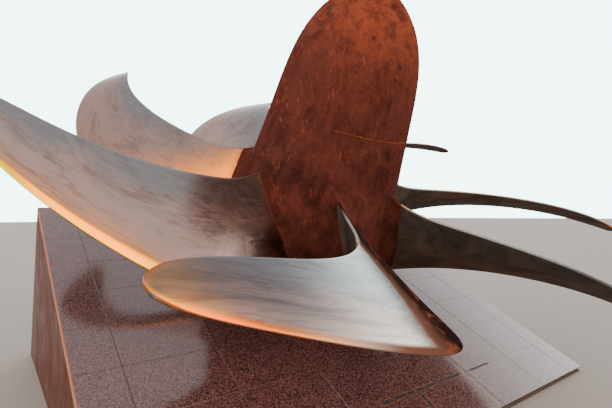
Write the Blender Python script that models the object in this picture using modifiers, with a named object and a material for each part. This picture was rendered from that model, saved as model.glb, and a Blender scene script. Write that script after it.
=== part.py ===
"""Seven-bladed bronze ship propeller, standing cone up on a wedge-shaped granite plinth.

Metres, +Z up. The origin is the middle of the plinth's underside, +X runs across the plinth
and +Y runs towards its high rear edge. The propeller's axis stands square to the sloping top.
"""

import math

import bmesh
import bpy
from mathutils import Vector

# Plinth: a wedge with a sloping top, upright sides and a battered rear face
PLINTH_WIDTH = 4.07
TOP_RUN = 3.11
TOP_SLOPE = math.radians(25.9)
REAR_BATTER = 0.60
SLAB_THICKNESS = 0.03
TOE_CLEARANCE = 0.002
COLUMN_COUNT = 6
COLUMN_WIDTH = 0.61
LEFT_STRIP_WIDTH = 0.28
RIGHT_STRIP_WIDTH = 0.24
SIDE_PANEL_COUNT = 3
JOINT = 0.005

# Clearance between pieces that touch on the real object
SEAT_GAP = 0.0003

# Where the propeller stands on the plinth
AXIS_UP_SLOPE = 1.93
FIRST_BLADE_ANGLE = math.radians(-92.9)
BLADE_COUNT = 7

# Hub: heights run along the axis from the granite
SEAT_RING_THICKNESS = 0.02
SEAT_RING_OVERHANG = 0.02
SEAM_HEIGHT = 1.545
SEAM_RADIUS = 0.60
HUB_TAPER = 0.123
HUB_FLARE_RADIUS = 45.5
CONE_LENGTH = 1.10
CONE_FULLNESS = 4.0
CONE_ROUNDING = 1.5
SEAM_CHAMFER = 0.004
CUTTER_DEPTH = 0.60
FACETS_PER_BLADE = 8
BOSS_RINGS = 6
CONE_RINGS = 14

# Blade sections lie on cylinders about the axis. Each table runs from the root to the tip in
# even steps of radius: skew as the angle the section trails by, rake as its rise along the axis
BLADE_HEIGHT = 0.58
TIP_RADIUS = 2.678
SKEW_DEGREES = (0.0, -4.1, -9.6, -18.5, -31.9, -46.0)
RAKE = (0.0, 0.103, 0.224, 0.378, 0.563, 0.655)
CHORD = (1.12, 1.075, 1.10, 1.083, 0.964, 0.84)
PITCH = (6.93, 6.26, 5.20)
TIP_ROUNDING = 3.9
ROOT_THICKNESS = 0.22
TIP_THICKNESS = 0.024
THICKNESS_FALL = 1.35
TRAILING_EDGE_THICKNESS = 0.012
NOSE_FULLNESS = 2.4
TAIL_FULLNESS = 1.7
CAMBER = 0.02
ROOT_FILLET = 0.11
EDGE_FILLET = 0.03
TAIL_RISE = 0.06
TAIL_REACH = 0.45
# The far blade's trailing edge, which shows no gap beside the hub, stands out further at mid-span
FULLER_BLADE = 4
FULLER_EDGE = 0.15
FULLER_FROM = 0.15
FULLER_TO = 0.85
TIP_CLOSE = 0.9995
ROOT_STATIONS = 12
SPAN_STATIONS = 20
SECTION_POINTS = 24

COLLECTION_NAME = "ship_propeller_on_plinth"


def clear_scene():
    for obj in list(bpy.data.objects):
        bpy.data.objects.remove(obj, do_unlink=True)


def new_collection(name):
    collection = bpy.data.collections.new(name)
    bpy.context.scene.collection.children.link(collection)
    return collection


def make_material(name, colour, roughness, metallic):
    material = bpy.data.materials.new(name)
    material.use_nodes = True
    shader = material.node_tree.nodes["Principled BSDF"]
    shader.inputs["Base Color"].default_value = (*colour, 1.0)
    shader.inputs["Roughness"].default_value = roughness
    shader.inputs["Metallic"].default_value = metallic
    return material


def add_object(name, data, collection, material=None, parent=None):
    obj = bpy.data.objects.new(name, data)
    collection.objects.link(obj)
    if material and material.name not in data.materials:
        data.materials.append(material)
    obj.parent = parent
    return obj


def add_empty(name, collection, location, rotation, parent=None):
    empty = add_object(name, None, collection, None, parent)
    empty.location = location
    empty.rotation_euler = rotation
    return empty


# Plinth outlines, drawn in the plane across its width as (y, z)

def line_crossing(point_a, direction_a, point_b, direction_b):
    """Where two lines of the outline meet."""
    determinant = direction_a.x * direction_b.y - direction_a.y * direction_b.x
    offset = point_b - point_a
    along_a = (offset.x * direction_b.y - offset.y * direction_b.x) / determinant
    return point_a + direction_a * along_a


def plinth_lines():
    """The lines that every plinth piece is cut to: sloping top, battered rear and ground."""
    base_length = TOP_RUN + REAR_BATTER
    up_slope = Vector((math.cos(TOP_SLOPE), math.sin(TOP_SLOPE)))
    into_top = Vector((up_slope.y, -up_slope.x))
    toe_height = SLAB_THICKNESS / up_slope.x + TOE_CLEARANCE
    toe = Vector((-base_length / 2, toe_height))
    apex = toe + up_slope * (TOP_RUN / up_slope.x)
    rear_foot = Vector((base_length / 2, 0.0))
    down_rear = (rear_foot - apex).normalized()
    into_rear = Vector((down_rear.y, -down_rear.x))
    return {"toe": toe, "apex": apex, "rear_foot": rear_foot, "up_slope": up_slope,
            "into_top": into_top, "down_rear": down_rear, "into_rear": into_rear}


def add_prism(name, outline, x_low, x_high, collection, material):
    """A flat outline in (y, z), given a thickness across the plinth's width."""
    curve = bpy.data.curves.new(name, "CURVE")
    curve.dimensions = "2D"
    curve.fill_mode = "BOTH"
    curve.extrude = (x_high - x_low) / 2
    spline = curve.splines.new("POLY")
    spline.points.add(len(outline) - 1)
    for point, corner in zip(spline.points, outline):
        point.co = (corner[0], corner[1], 0.0, 1.0)
    spline.use_cyclic_u = True
    obj = add_object(name, curve, collection, material)
    obj.location = ((x_low + x_high) / 2, 0.0, 0.0)
    obj.rotation_euler = (math.pi / 2, 0.0, math.pi / 2)
    return obj


def column_edges():
    """Left edge, right edge and name of each column of facing, left to right."""
    left = -PLINTH_WIDTH / 2
    right = PLINTH_WIDTH / 2
    first = left + LEFT_STRIP_WIDTH
    cuts = [left] + [first + COLUMN_WIDTH * i for i in range(COLUMN_COUNT)] + [right - RIGHT_STRIP_WIDTH, right]
    names = ["left_strip"] + [f"column_{i + 1}" for i in range(COLUMN_COUNT)] + ["right_strip"]
    edges = []
    for name, low, high in zip(names, cuts, cuts[1:]):
        low_side = low if low == left else low + JOINT / 2
        high_side = high if high == right else high - JOINT / 2
        edges.append((name, low_side, high_side))
    return edges


def build_plinth(collection, materials):
    lines = plinth_lines()
    ground = Vector((0.0, 0.0)), Vector((1.0, 0.0))
    toe, apex, rear_foot = lines["toe"], lines["apex"], lines["rear_foot"]
    top_inner = toe + lines["into_top"] * SLAB_THICKNESS, lines["up_slope"]
    top_backing = toe + lines["into_top"] * (SLAB_THICKNESS + SEAT_GAP), lines["up_slope"]
    rear_outer = apex, lines["down_rear"]
    rear_inner = apex + lines["into_rear"] * SLAB_THICKNESS, lines["down_rear"]
    rear_backing = apex + lines["into_rear"] * (SLAB_THICKNESS + SEAT_GAP), lines["down_rear"]
    toe_face = toe, Vector((0.0, 1.0))

    top_outline = [line_crossing(*toe_face, *top_inner), line_crossing(*top_inner, *rear_outer), apex, toe]
    rear_outline = [line_crossing(*rear_inner, *ground), rear_foot,
                    line_crossing(*top_backing, *rear_outer), line_crossing(*top_backing, *rear_inner)]
    for name, low, high in column_edges():
        add_prism(f"top_{name}", top_outline, low, high, collection, materials["polished"])
        add_prism(f"rear_{name}", rear_outline, low, high, collection, materials["polished"])

    side_inner = PLINTH_WIDTH / 2 - SLAB_THICKNESS
    core_outline = [line_crossing(*top_backing, *ground),
                    line_crossing(*rear_backing, *ground),
                    line_crossing(*rear_backing, *top_backing)]
    add_prism("plinth_core", core_outline, -side_inner + SEAT_GAP, side_inner - SEAT_GAP,
              collection, materials["core"])

    build_sides(collection, materials, core_outline, side_inner, top_backing)


def build_sides(collection, materials, core_outline, side_inner, top_backing):
    """Upright side facing in panels, closed at the rear by the strip under the batter."""
    toe_point, foot_point, top_point = core_outline
    split_y = top_point.x - JOINT
    start_y = toe_point.x + SLAB_THICKNESS
    pitch = (split_y - start_y) / SIDE_PANEL_COUNT

    def slope_height(y):
        return line_crossing(*top_backing, Vector((y, 0.0)), Vector((0.0, 1.0))).y

    for side, sign in (("left", -1), ("right", 1)):
        low, high = sorted((sign * side_inner, sign * PLINTH_WIDTH / 2))
        for i in range(SIDE_PANEL_COUNT):
            front = start_y + pitch * i + (JOINT if i else 0.0)
            back = start_y + pitch * (i + 1)
            outline = [(front, 0.0), (back, 0.0), (back, slope_height(back)), (front, slope_height(front))]
            add_prism(f"{side}_panel_{i + 1}", outline, low, high, collection, materials["polished"])
        strip = [(top_point.x, 0.0), foot_point, top_point]
        add_prism(f"{side}_corner_strip", strip, low, high, collection, materials["red"])


# Hub: one outline, from the granite to the nose

def hub_radius(height):
    """Radius of the hub at a height along the axis."""
    below_seam = SEAM_HEIGHT - height
    if below_seam >= 0:
        return SEAM_RADIUS + HUB_TAPER * below_seam + below_seam ** 2 / (2 * HUB_FLARE_RADIUS)
    share = min(-below_seam / CONE_LENGTH, 1.0)
    narrowing = 1 - HUB_TAPER * CONE_LENGTH / SEAM_RADIUS * share
    return SEAM_RADIUS * narrowing * (1 - share ** CONE_FULLNESS) ** (1 / CONE_ROUNDING)


def add_turned(name, profile, collection, material, parent):
    """A profile of (radius, height) from the top down, turned about the propeller's axis."""
    mesh = bpy.data.meshes.new(name)
    points = [(radius, 0.0, height) for radius, height in profile]
    mesh.from_pydata(points, [(i, i + 1) for i in range(len(points) - 1)], [])
    obj = add_object(name, mesh, collection, material, parent)
    screw = obj.modifiers.new("Turn", "SCREW")
    screw.axis = "Z"
    screw.steps = BLADE_COUNT * FACETS_PER_BLADE
    screw.render_steps = BLADE_COUNT * FACETS_PER_BLADE
    screw.use_merge_vertices = True
    screw.merge_threshold = 0.0001
    screw.use_smooth_shade = True
    return obj


def boss_side(clearance):
    """Outer side of the boss from its top to its foot, let out by a clearance."""
    high = SEAM_HEIGHT - SEAM_CHAMFER
    low = SEAT_RING_THICKNESS + SEAT_GAP
    heights = [high + (low - high) * i / BOSS_RINGS for i in range(BOSS_RINGS + 1)]
    return [(hub_radius(height) + clearance, height) for height in heights]


def build_hub(collection, cutters, materials, axis):
    ring_radius = hub_radius(SEAT_RING_THICKNESS) + SEAT_RING_OVERHANG
    ring = [(0.0, SEAT_RING_THICKNESS), (ring_radius, SEAT_RING_THICKNESS),
            (ring_radius, SEAT_GAP), (0.0, SEAT_GAP)]
    add_turned("hub_seat_ring", ring, collection, materials["hub"], axis)

    side = boss_side(0.0)
    foot = side[-1][1]
    boss = [(0.0, SEAM_HEIGHT), (SEAM_RADIUS - SEAM_CHAMFER, SEAM_HEIGHT)] + side + [(0.0, foot)]
    add_turned("hub_boss", boss, collection, materials["hub"], axis)

    cone_foot = SEAM_HEIGHT + SEAT_GAP
    cone = [(0.0, SEAM_HEIGHT + CONE_LENGTH)]
    for i in range(1, CONE_RINGS + 1):
        share = math.cos(math.pi / 2 * i / CONE_RINGS)
        height = max(SEAM_HEIGHT + CONE_LENGTH * share, cone_foot + SEAM_CHAMFER)
        cone.append((hub_radius(height), height))
    cone += [(SEAM_RADIUS - SEAM_CHAMFER, cone_foot), (0.0, cone_foot)]
    add_turned("fairwater_cone", cone, collection, materials["hub"], axis)

    cut_side = boss_side(SEAT_GAP)
    cut = [(0.0, SEAM_HEIGHT), (cut_side[0][0], SEAM_HEIGHT)] + cut_side
    cut += [(cut_side[-1][0], -CUTTER_DEPTH), (0.0, -CUTTER_DEPTH)]
    cutter = add_turned("hub_clearance", cut, cutters, None, axis)
    cutter.hide_render = True
    cutter.display_type = "WIRE"
    return cutter


# Blades

def along(table, share):
    """The smooth curve through a table's even stations, at a share of the way from root to tip."""
    last = len(table) - 1
    total = 0.0
    for i, value in enumerate(table):
        for j in range(len(table)):
            if j != i:
                value *= (share * last - j) / (i - j)
        total += value
    return total


def fillet_growth(distance, back):
    """Flare of the skin at a distance from the hub: square to it, least at the edges, and rearward."""
    out = max(distance, 0.0)
    spread = 2 * back - 1
    radius = ROOT_FILLET + (EDGE_FILLET - ROOT_FILLET) * spread ** 2
    square = radius - math.sqrt(radius ** 2 - max(radius - out, 0.0) ** 2)
    rearward = TAIL_RISE * max(1 - out / TAIL_REACH, 0.0) ** 2 * max(spread, 0.0) ** 2
    return square, rearward


def chord_share(i):
    """How far back along the chord a section's point lies, points being closer at both edges."""
    return (1 - math.cos(2 * math.pi * i / SECTION_POINTS)) / 2


def half_thickness(back, thickness):
    """Half the section's thickness: an elliptic nose, then a taper to a thin trailing edge."""
    edge = min(TRAILING_EDGE_THICKNESS, thickness)
    spread = abs(2 * back - 1)
    if back < 0.5:
        return thickness / 2 * math.sqrt(1 - spread ** NOSE_FULLNESS)
    return edge / 2 + (thickness - edge) / 2 * (1 - spread ** TAIL_FULLNESS)


def section_outline(chord, thickness):
    """Blade section, leading edge first, as (toward the leading edge, toward the suction side)."""
    tail = SECTION_POINTS // 2
    outline = []
    for i in range(SECTION_POINTS):
        back = chord_share(i)
        side = 0 if i == tail else 1 if i < tail else -1
        mean_line = CAMBER * chord * 4 * back * (1 - back)
        outline.append(Vector(((0.5 - back) * chord, mean_line + side * half_thickness(back, thickness))))
    return outline


def fuller_by(share, extra):
    """How much further the trailing edge stands out at a share of the way from root to tip."""
    place = min(max((share - FULLER_FROM) / (FULLER_TO - FULLER_FROM), 0.0), 1.0)
    return extra * math.sin(math.pi * place) ** 2


def blade_ring(radius, root_radius, extra):
    """Points round the blade's skin where it crosses the cylinder of a radius."""
    share = max((radius - root_radius) / (TIP_RADIUS - root_radius), 0.0)
    chord = along(CHORD, share) * math.sqrt(1 - share ** TIP_ROUNDING)
    pitch_angle = math.atan2(along(PITCH, share), 2 * math.pi * radius)
    skew = math.radians(along(SKEW_DEGREES, share))
    rake = along(RAKE, share)
    thickness = TIP_THICKNESS + (ROOT_THICKNESS - TIP_THICKNESS) * (1 - share) ** THICKNESS_FALL
    outline = section_outline(chord, min(thickness, chord / 2))
    ring = []
    for i, point in enumerate(outline):
        height = BLADE_HEIGHT + rake - point.x * math.sin(pitch_angle) - point.y * math.cos(pitch_angle)
        tangent = (outline[(i + 1) % SECTION_POINTS] - outline[i - 1]).normalized()
        square, rearward = fillet_growth(radius - hub_radius(height), chord_share(i))
        rearward += fuller_by(share, extra) * max(2 * chord_share(i) - 1, 0.0) ** 2
        grown = point + Vector((tangent.y, -tangent.x)) * square - Vector((rearward, 0.0))
        angle = skew + (grown.x * math.cos(pitch_angle) - grown.y * math.sin(pitch_angle)) / radius
        height = BLADE_HEIGHT + rake - grown.x * math.sin(pitch_angle) - grown.y * math.cos(pitch_angle)
        ring.append(Vector((radius * math.cos(angle), radius * math.sin(angle), height)))
    return ring


def blade_radii(root_radius):
    """Radii of the blade's stations: close together in the root fillet and at the tip."""
    inner = SEAM_RADIUS
    zone_end = hub_radius(0.0) + ROOT_FILLET
    radii = [inner + (zone_end - inner) * i / (ROOT_STATIONS - 1) for i in range(ROOT_STATIONS)]
    tip = root_radius + (TIP_RADIUS - root_radius) * TIP_CLOSE
    for i in range(1, SPAN_STATIONS + 1):
        eased = math.sin(math.pi / 2 * i / SPAN_STATIONS)
        radii.append(zone_end + (tip - zone_end) * eased)
    return radii


def make_blade_mesh(extra):
    """One blade as a loft through its sections, closed at the root and the tip."""
    root_radius = hub_radius(BLADE_HEIGHT)
    bm = bmesh.new()
    rings = []
    for radius in blade_radii(root_radius):
        rings.append([bm.verts.new(point) for point in blade_ring(radius, root_radius, extra)])
    for inner, outer in zip(rings, rings[1:]):
        for i in range(SECTION_POINTS):
            j = (i + 1) % SECTION_POINTS
            bm.faces.new((inner[i], inner[j], outer[j], outer[i]))
    bm.faces.new(rings[0])
    bm.faces.new(rings[-1])
    bmesh.ops.recalc_face_normals(bm, faces=bm.faces)
    mesh = bpy.data.meshes.new("blade_blank")
    bm.to_mesh(mesh)
    bm.free()
    return mesh


def cut_to_hub(blank, cutter, collection):
    """The blade's mesh after its root is cut to the hub's outer side."""
    obj = add_object("blade_blank", blank, collection, None, cutter.parent)
    boolean = obj.modifiers.new("Seat on hub", "BOOLEAN")
    boolean.operation = "DIFFERENCE"
    boolean.object = cutter
    bpy.context.view_layer.update()
    evaluated = obj.evaluated_get(bpy.context.evaluated_depsgraph_get())
    mesh = bpy.data.meshes.new_from_object(evaluated)
    bpy.data.objects.remove(obj, do_unlink=True)
    mesh.name = "blade"
    mesh.shade_smooth()
    mesh.set_sharp_from_angle(angle=math.radians(40))
    return mesh


def build_blades(collection, cutters, materials, axis, cutter):
    usual = cut_to_hub(make_blade_mesh(0.0), cutter, cutters)
    fuller = cut_to_hub(make_blade_mesh(FULLER_EDGE), cutter, cutters)
    for i in range(BLADE_COUNT):
        mesh = fuller if i + 1 == FULLER_BLADE else usual
        blade = add_object(f"blade_{i + 1}", mesh, collection, materials["blade"], axis)
        blade.rotation_euler = (0.0, 0.0, -i * 2 * math.pi / BLADE_COUNT)


def main():
    clear_scene()
    parts = new_collection(COLLECTION_NAME)
    cutters = new_collection("cutters")
    materials = {
        "polished": make_material("polished_granite", (0.23, 0.13, 0.12), 0.15, 0.0),
        "red": make_material("red_granite", (0.28, 0.09, 0.06), 0.35, 0.0),
        "core": make_material("concrete", (0.30, 0.29, 0.27), 0.9, 0.0),
        "hub": make_material("dark_bronze", (0.20, 0.07, 0.04), 0.4, 1.0),
        "blade": make_material("bare_bronze", (0.48, 0.40, 0.36), 0.35, 1.0),
    }
    build_plinth(parts, materials)
    lines = plinth_lines()
    foot = lines["toe"] + lines["up_slope"] * AXIS_UP_SLOPE
    axis = add_empty("propeller_axis", parts, (0.0, foot.x, foot.y), (TOP_SLOPE, 0.0, 0.0))
    turn = add_empty("propeller_turn", parts, (0.0, 0.0, 0.0), (0.0, 0.0, FIRST_BLADE_ANGLE), axis)
    bpy.context.view_layer.update()
    cutter = build_hub(parts, cutters, materials, turn)
    build_blades(parts, cutters, materials, turn, cutter)


main()
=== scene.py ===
"""Looks of a seven-bladed bronze ship propeller that stands cone up on a polished granite plinth.

Metres, in the same frame as the solids: +Z up, +X across the plinth, +Y towards its high rear edge.
"""

import math

import bmesh
import bpy
from bpy.props import FloatProperty, FloatVectorProperty, IntProperty, PointerProperty
from mathutils import Matrix, Vector


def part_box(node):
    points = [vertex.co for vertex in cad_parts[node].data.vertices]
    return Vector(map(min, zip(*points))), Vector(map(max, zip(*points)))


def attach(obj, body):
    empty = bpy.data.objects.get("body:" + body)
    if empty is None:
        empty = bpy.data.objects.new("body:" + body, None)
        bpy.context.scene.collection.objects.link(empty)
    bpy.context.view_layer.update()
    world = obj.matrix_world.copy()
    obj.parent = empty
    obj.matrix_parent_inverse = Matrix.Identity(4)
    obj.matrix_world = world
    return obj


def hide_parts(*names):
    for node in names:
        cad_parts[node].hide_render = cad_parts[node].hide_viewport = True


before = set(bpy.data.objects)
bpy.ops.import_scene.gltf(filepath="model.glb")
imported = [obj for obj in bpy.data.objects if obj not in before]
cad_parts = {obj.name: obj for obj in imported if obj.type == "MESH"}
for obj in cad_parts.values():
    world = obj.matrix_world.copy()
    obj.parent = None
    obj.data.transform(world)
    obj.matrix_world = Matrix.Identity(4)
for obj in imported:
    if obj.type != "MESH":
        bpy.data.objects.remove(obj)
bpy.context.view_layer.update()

bl_info = {
    "name": "Ship propeller on a granite plinth",
    "version": (1, 0, 0),
    "blender": (4, 5, 0),
    "location": "View3D > Sidebar > Propeller",
    "description": "Finishes the propeller in cast and ground bronze and its plinth in polished granite",
    "category": "Object",
}

BODY = "root"
BLADE_COUNT = 7
TARNISHED_BLADE = 1
ROLLED_BLADE = 2
STAINED_BLADE = 3
FULLER_BLADE = 4

# Shape of the blades' sections and of the cone, as the solids have them
CAMBER = 0.02
NOSE_FULLNESS = 2.4
TAIL_FULLNESS = 1.7
TAIL_ROUNDING = 0.003
TIP_FULLNESS = 3.9
THICKNESS_FALL = 1.35
FULLER_FROM = 0.15
FULLER_TO = 0.85
CONE_FULLNESS = 4
CONE_BLUNTNESS = 1.5

# What each point of a blade's mesh keeps for its shape and its finish
BLADE_LAYERS = ("pitch_angle", "skew", "rake", "back", "off_hub", "underside", "tarnished_edge", "rolled_edge",
                "stained")

# Rows of a blade's mesh: the first lies under the hub's skin and flares out there, the next ones follow the
# fillet and the hub's side, and the last lies just short of the tip
SUNK_ROW = 0.003
SUNK_FLARE = 6
FILLET_ROWS = 13
FOLLOW_RUN = 0.8
SETTLING_PASSES = 5
TIP_ROW = 0.9997
EVEN_SPACING = 0.45

# Shift of the finish's pattern from blade to blade
PLAN_SHIFT = 2.3

# Gaps between pieces and a small edge, in metres
SKIN_GAP = 0.0003
RING_EDGE = 0.003
HALF_LONG_JOINT = 0.0025

HUB_METALLIC = 0.1
GRANITE_IOR = 1.54
# How far one blade's face falls away toward its leading edge, near it and over its front part
EDGE_ROLL = -0.0098
WIDE_ROLL = -0.013


def colour(hex_code):
    """Linear red, green and blue of an sRGB hex colour."""
    channels = [int(hex_code[i:i + 2], 16) / 255 for i in (1, 3, 5)]
    return tuple(c / 12.92 if c <= 0.04045 else ((c + 0.055) / 1.055) ** 2.4 for c in channels)


def shade(name, description, hex_code):
    """A colour property with its default as an sRGB hex colour."""
    return FloatVectorProperty(name=name, description=description, subtype="COLOR", size=3,
                               min=0.0, max=1.0, default=colour(hex_code))


def length(name, description, default):
    """A length property in metres."""
    return FloatProperty(name=name, description=description, default=default, unit="LENGTH", subtype="DISTANCE",
                         precision=4)


def angle(name, description, degrees):
    """An angle property with its default in degrees."""
    return FloatProperty(name=name, description=description, default=math.radians(degrees), subtype="ANGLE")


def table(name, description, *values):
    """A property with values at even stations from the blade's root to its tip."""
    return FloatVectorProperty(name=name, description=description, size=len(values), default=values)


# Sizes and colours

class PropellerSizes(bpy.types.PropertyGroup):
    """The hub's outline and the blades' sections, as the solids have them."""
    axis_up_slope: length("Axis up the slope", "From the plinth's low edge to the axis, along the top", 1.93)
    first_blade: angle("First blade", "Turn of the first blade about the axis", -92.9)
    ring_thickness: length("Seat ring thickness", "Height of the ring under the hub", 0.02)
    ring_overhang: length("Seat ring overhang", "How far the ring stands out from the hub's foot", 0.02)
    seam_height: length("Seam height", "From the granite to the joint under the cone", 1.545)
    seam_radius: length("Seam radius", "Radius of the hub at the joint under the cone", 0.60)
    hub_taper: FloatProperty(name="Hub taper", description="Gain of radius for each metre down the hub", default=0.123)
    flare_radius: length("Flare radius", "Radius of the hub side's hollow", 45.5)
    cone_length: length("Cone length", "From the seam to the nose", 1.10)
    seam_chamfer: length("Seam chamfer", "Chamfer on both sides of the seam", 0.001)
    blade_height: length("Blade height", "From the granite to the middle of a blade's root", 0.58)
    tip_radius: length("Tip radius", "From the axis to a blade's tip", 2.678)
    skew: table("Skew", "Angle that a section trails by, degrees", 0.0, -4.1, -9.6, -18.5, -31.9, -46.0)
    rake: table("Rake", "Rise along the axis, metres", 0.0, 0.103, 0.224, 0.378, 0.563, 0.655)
    chord: table("Chord", "Section length, metres", 1.12, 1.075, 1.10, 1.083, 0.964, 0.84)
    pitch: table("Pitch", "Advance in one turn, metres", 6.93, 6.26, 5.20)
    root_thickness: length("Root thickness", "Greatest thickness of the root section", 0.22)
    tip_thickness: length("Tip thickness", "Greatest thickness of the tip section", 0.024)
    edge_thickness: length("Trailing edge", "Thickness of the trailing edge", 0.012)
    root_fillet: length("Root fillet", "Fillet between the blade's sides and the hub", 0.11)
    edge_fillet: length("Edge fillet", "Fillet between the blade's edges and the hub", 0.03)
    tail_rise: length("Tail rise", "How far the trailing edge runs back up the hub", 0.06)
    tail_reach: length("Tail reach", "Where the trailing edge starts to run back", 0.45)
    fuller_edge: length("Fuller edge", "How much fuller one blade's trailing edge is at mid-span", 0.15)
    span_rows: IntProperty(name="Rows along the span", description="Sections in a blade's mesh", default=110, min=20)
    round_points: IntProperty(name="Points round a section", description="Even number", default=72, min=24)
    hub_facets: IntProperty(name="Facets round the hub", description="Steps of the turned pieces", default=224, min=56)


class PlinthSizes(bpy.types.PropertyGroup):
    """The wedge and the slabs of its facing."""
    top_run: length("Top run", "Level length of the sloping top", 3.11)
    top_slope: angle("Top slope", "Slope of the top", 25.9)
    rear_batter: length("Rear batter", "How far the rear face leans out to its foot", 0.60)
    slab_thickness: length("Slab thickness", "Thickness of the facing", 0.03)
    toe_clearance: length("Toe clearance", "Gap between the lowest slab and the ground", 0.002)
    first_course: length("First course", "Length of the lowest slabs", 0.36)
    course: length("Course", "Spacing of the cross joints", 0.41)
    cross_joint: length("Cross joint", "Width of the joints across the slope", 0.003)
    arris: length("Arris", "Eased edge of a slab", 0.0015)
    mortar_depth: length("Mortar depth", "How far the mortar lies below the face", 0.0008)


class FinishColours(bpy.types.PropertyGroup):
    """Colours of the finishes."""
    hub_deep: shade("Hub, deep", "Dark tarnish in the hub's skin", "#321D1B")
    hub_red: shade("Hub, red", "Red-brown tarnish of the hub", "#62362F")
    # Painted light toward the nose, and rubbed patches and scratches
    hub_rubbed_and_lit: shade("Hub, glint", "Rubbed patches and scratches", "#AA583C")
    blade_silver: shade("Blade, silver", "Ground metal toward the trailing edge", "#A6A6A6")
    # Painted light on the leading half of the blades
    blade_lit_warm: shade("Blade, warm", "Ground metal toward the leading edge", "#E2C4B4")
    blade_brown: shade("Blade, brown", "Tarnish near the root", "#805848")
    # Painted reflection of the warm glow: on the leading edges, and their brightest strip
    warm_reflection: shade("Edge, copper", "Leading edge, rubbed bright", "#EE8C3C")
    brightest_reflection: shade("Edge, brightest", "The outermost, brightest strip of the rubbed edge", "#FFDC0A")
    blade_cool: shade("Blade, cool", "Duller, cooler metal of the near blade", "#728284")
    blade_mauve: shade("Blade, dusky", "Dusky grey of one blade's end", "#82787A")
    blade_smudge: shade("Blade, smudge", "Grey smudges on the near blade", "#5C6062")
    blade_stained: shade("Blade, stained", "Brown stain over the hooked blade", "#A87A68")
    # Grime and painted dark reflection on the near blade
    grime_and_dark_reflection: shade("Grime", "Dull tarnish along one leading edge", "#241C19")
    grime_and_dark_reflection_thin: shade("Grime, thin", "Thinner tarnish at its border", "#6A4A3C")
    edge_pale: shade("Edge, pale", "Trailing edge, worn pale", "#C2CCCC")
    # Painted shade on the undersides and near the rolled blade's root
    shade_dark: shade("Underside, dark", "Tarnish of the undersides", "#3E3A37")
    shade_brown: shade("Underside, brown", "Thinner tarnish of the undersides", "#60564E")
    granite_pink: shade("Granite, pink", "Feldspar", "#966460")
    granite_grey: shade("Granite, grey", "Quartz", "#362C2E")
    granite_dark: shade("Granite, dark", "Mica flecks", "#0E0C0D")
    # Painted highlight along the top's left edge
    arris_highlight: shade("Granite, worn arris", "Worn, stained edge of the top", "#C8805C")
    granite_red: shade("Red granite", "Red strip at the rear corners", "#562612")
    rust: shade("Rust", "Rust-coloured stain beside the joints", "#B06A3C")
    mortar: shade("Mortar", "Damp mortar in the joints", "#15171A")
    mortar_dry: shade("Mortar, dry", "Dry mortar in the joints", "#665450")
    concrete: shade("Concrete", "Core behind the facing", "#5A5650")
    floor: shade("Floor", "Pale floor", "#A8A5A1")
    sky: shade("Sky", "Pale sky overhead", "#EEE6EA")
    sky_low: shade("Sky, low", "Brighter sky near the horizon", "#EEF6F4")
    backdrop: shade("Backdrop", "Plain backdrop in view", "#C4F0F0")
    glow: shade("Glow", "Warm evening glow on one side", "#FFA600")
    lamp: shade("Lamp", "Warm lamp on the near side", "#FFCBAA")


# Nodes and shapes

def connect(tree, node, links):
    """Links each of a node's inputs to a socket, or gives it a value."""
    for name, source in links.items():
        if isinstance(source, bpy.types.NodeSocket):
            tree.links.new(source, node.inputs[name])
        else:
            node.inputs[name].default_value = source


def add_node(tree, kind, settings=None, links=None):
    """Adds a node, with its settings and its inputs."""
    node = tree.nodes.new(kind)
    for name, value in (settings or {}).items():
        setattr(node, name, value)
    connect(tree, node, links or {})
    return node


class Nodes:
    """A node tree, with the steps that shapes, finishes and the surround share."""

    def __init__(self, tree):
        self.tree = tree

    def add(self, kind, settings=None, links=None, output=0):
        """Adds a node and gives back one of its outputs."""
        return add_node(self.tree, kind, settings, links).outputs[output]

    def maths(self, operation, first, *others):
        """An operation on one value, or on several one after another."""
        for other in others or (0.0,):
            first = self.add("ShaderNodeMath", {"operation": operation}, {0: first, 1: other})
        return first

    def times(self, *values):
        return self.maths("MULTIPLY", *values)

    def plus(self, *values):
        return self.maths("ADD", *values)

    def less(self, first, second):
        return self.maths("SUBTRACT", first, second)

    def most(self, *values):
        return self.maths("MAXIMUM", *values)

    def between(self, value, low, high, at_low=0.0, at_high=1.0):
        """A value's smooth passage from one limit to another."""
        return self.add("ShaderNodeMapRange", {"interpolation_type": "SMOOTHSTEP"}, {
            "Value": value, "From Min": low, "From Max": high, "To Min": at_low, "To Max": at_high})

    def split(self, vector):
        """The three parts of a vector."""
        return add_node(self.tree, "ShaderNodeSeparateXYZ", None, {0: vector}).outputs

    def joined(self, x, y, z):
        return self.add("ShaderNodeCombineXYZ", None, {0: x, 1: y, 2: z})

    def passed(self, geometry, *steps):
        """A geometry after a chain of nodes, each given by its kind and its other inputs."""
        for kind, links in steps:
            geometry = self.add(f"GeometryNode{kind}", None, {0: geometry, **links})
        return geometry


def new_object(name, data):
    """An object in the scene."""
    obj = bpy.data.objects.new(name, data)
    bpy.context.scene.collection.objects.link(obj)
    return obj


def finished_piece(name, mesh, material, slot, *nodes):
    """An object at the origin that stands for its solids and rides with the body."""
    obj = new_object(name, mesh)
    if not mesh.materials:
        mesh.materials.append(material)
    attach(obj, BODY)
    if nodes:
        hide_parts(*nodes)
    return obj


def evaluated_mesh(obj, name):
    """Plain mesh of an object with its modifiers applied; the object itself is removed."""
    bpy.context.view_layer.update()
    mesh = bpy.data.meshes.new_from_object(obj.evaluated_get(bpy.context.evaluated_depsgraph_get()))
    mesh.name = name
    bpy.data.objects.remove(obj, do_unlink=True)
    return mesh


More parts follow.
